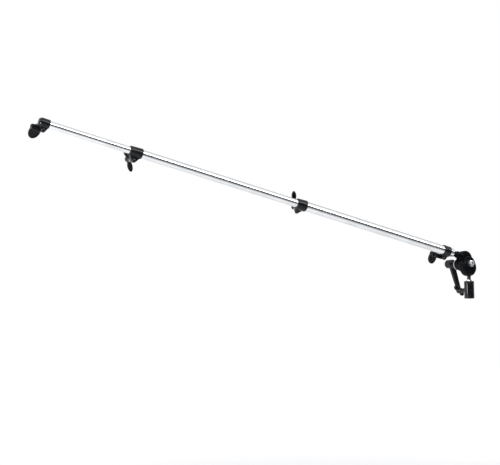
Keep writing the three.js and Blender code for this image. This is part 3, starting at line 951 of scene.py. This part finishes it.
# Studio: a pale floor far below the arm and white behind it. One long soft lamp hangs above the camera,
# along the arm, and one stands on the left. What stands around shows only in reflections: towards the
# camera the sweep turns grey, and the room's dark floor and walls draw the dark line along the tubes.
floor_z = -0.75
floor_reach = 12
near_glow = 0.05
far_glow = 0.7
glow_from = 1
glow_to = 4
grey_from = -0.5
dark_from = -1.9
dark_to = -7
dark_reach = 14
dark_top = 10
left_wall_x = -7
left_wall_to = 2.5


# A flat card between two corners: it stands across X, or else it stands or lies along X
def flat_card(name, low, high):
    shape = bmesh.new()
    near = (low[0], high[1], low[2]) if low[0] == high[0] else (high[0], low[1], low[2])
    far = (high[0], low[1], high[2]) if low[0] == high[0] else (low[0], high[1], high[2])
    shape.faces.new([shape.verts.new(corner) for corner in (low, near, high, far)])
    made = as_object(shape)
    made.name = name
    return made


# Light Path's camera, glossy and transmission rays as one value
def looking_rays(tree):
    rays = tree.nodes.new("ShaderNodeLightPath")
    seen = rays.outputs["Is Camera Ray"]
    for title in ("Is Glossy Ray", "Is Transmission Ray"):
        either = tree.nodes.new("ShaderNodeMath")
        either.operation = "MAXIMUM"
        tree.links.new(seen, either.inputs[0])
        tree.links.new(rays.outputs[title], either.inputs[1])
        seen = either.outputs[0]
    return seen


# Pale floor: lit as it is, and lifted towards white where it is looked at, so that its shadow stays
def make_pale_floor():
    finish, tree, shader, spot = new_finish("pale floor")
    tone = blended(tree, noise(tree, spot, 1.5, 2), (0.86, 0.86, 0.87), (0.88, 0.88, 0.89))
    tree.links.new(tone, shader.inputs["Base Color"])
    shader.inputs["Roughness"].default_value = 0.9
    shader.inputs["Emission Color"].default_value = (1, 1, 1, 1)
    away = tree.nodes.new("ShaderNodeVectorMath")
    away.operation = "LENGTH"
    tree.links.new(spot, away.inputs[0])
    lift = tree.nodes.new("ShaderNodeMath")
    lift.operation = "MULTIPLY"
    tree.links.new(looking_rays(tree), lift.inputs[0])
    glow = spread(tree, away.outputs["Value"], near_glow, far_glow, glow_from, glow_to)
    tree.links.new(glow, lift.inputs[1])
    tree.links.new(lift.outputs[0], shader.inputs["Emission Strength"])
    return finish


# Cloth: matt, a little uneven between two tones
def make_cloth(name, first, second):
    finish, tree, shader, spot = new_finish(name)
    tone = blended(tree, noise(tree, spot, 3, 3), first, second)
    tree.links.new(tone, shader.inputs["Base Color"])
    shader.inputs["Roughness"].default_value = 1
    return finish


# The front of the sweep: it goes from pale to grey on its way to the camera
def make_sweep_front():
    finish, tree, shader, spot = new_finish("sweep front")
    sides = tree.nodes.new("ShaderNodeSeparateXYZ")
    tree.links.new(spot, sides.inputs["Vector"])
    fade = spread(tree, sides.outputs["Y"], 0, 1, dark_from, grey_from)
    tone = blended(tree, fade, (0.30, 0.30, 0.30), (0.86, 0.86, 0.87), 0.0, 1.0)
    tree.links.new(tone, shader.inputs["Base Color"])
    shader.inputs["Roughness"].default_value = 0.9
    return finish


floor = flat_card("floor", (-floor_reach, -floor_reach, floor_z), (floor_reach, floor_reach, floor_z))
floor.data.materials.append(make_pale_floor())
dark_cloth = make_cloth("dark cloth", (0.24, 0.24, 0.25), (0.28, 0.28, 0.29))
sweep_front = make_sweep_front()
pale_cloth = make_cloth("pale cloth", (0.70, 0.70, 0.71), (0.74, 0.74, 0.75))
low_z = floor_z + 0.01
for name, finish, low, high in (
    ("sweep front", sweep_front, (-dark_reach, dark_from, low_z), (dark_reach, grey_from, low_z)),
    ("dark floor", dark_cloth, (-dark_reach, dark_to, low_z), (dark_reach, dark_from, low_z)),
    ("back card", pale_cloth, (-2, 4, 1.5), (11, 4, 10)),
    ("dark wall", dark_cloth, (-dark_reach, dark_to, low_z), (dark_reach, dark_to, dark_top)),
    ("left wall", dark_cloth, (left_wall_x, dark_to, low_z), (left_wall_x, left_wall_to, dark_top)),
):
    card = flat_card(name, low, high)
    card.data.materials.append(finish)
    card.visible_camera = False
    card.visible_diffuse = False
    card.visible_shadow = False

world = bpy.data.worlds.new("studio")
bpy.context.scene.world = world
world.use_nodes = True
sky = world.node_tree
room_light = sky.nodes["Background"]
room_light.inputs["Color"].default_value = (0.97, 0.98, 1, 1)
room_light.inputs["Strength"].default_value = 0.45
plain_white = sky.nodes.new("ShaderNodeBackground")
plain_white.inputs["Color"].default_value = (1, 1, 1, 1)
plain_white.inputs["Strength"].default_value = 1
mix = sky.nodes.new("ShaderNodeMixShader")
sky.links.new(looking_rays(sky), mix.inputs["Fac"])
sky.links.new(room_light.outputs[0], mix.inputs[1])
sky.links.new(plain_white.outputs[0], mix.inputs[2])
sky.links.new(mix.outputs[0], sky.nodes["World Output"].inputs["Surface"])


# A soft lamp aimed at a point
def soft_lamp(name, at, aim, size, power):
    lamp = bpy.data.lights.new(name, "AREA")
    lamp.shape = "RECTANGLE"
    lamp.size, lamp.size_y = size
    lamp.energy = power
    stand = bpy.data.objects.new(name, lamp)
    bpy.context.scene.collection.objects.link(stand)
    stand.location = at
    stand.rotation_euler = (Vector(aim) - Vector(at)).to_track_quat("-Z", "Y").to_euler()


soft_lamp("long lamp", (0.4, -2.1, 1.75), (0.4, 0, 0.2), (4.4, 0.9), 95)
soft_lamp("left lamp", (-3.4, -0.1, 0.35), (0, 0, 0.1), (0.7, 1.6), 62)

# Camera: where the photograph was taken from, level with the socket and a little below the arm. The
# shift and the depth of field stay off.
camera_at = (-1.9213, -2.1595, -0.0998)
camera_right = Vector((0.872, -0.4894, 0)).normalized()
camera_forward = Vector((0.4869, 0.8676, 0.1011)).normalized()
camera_up = camera_right.cross(camera_forward).normalized()
eye = bpy.data.cameras.new("camera")
eye.lens = 72
eye.sensor_width = 36
eye.clip_end = 60
camera = bpy.data.objects.new("camera", eye)
bpy.context.scene.collection.objects.link(camera)
facing = Matrix((camera_right, camera_up, -camera_forward)).transposed().to_4x4()
camera.matrix_world = Matrix.Translation(camera_at) @ facing
bpy.context.scene.camera = camera
bpy.context.scene.view_settings.view_transform = "Standard"
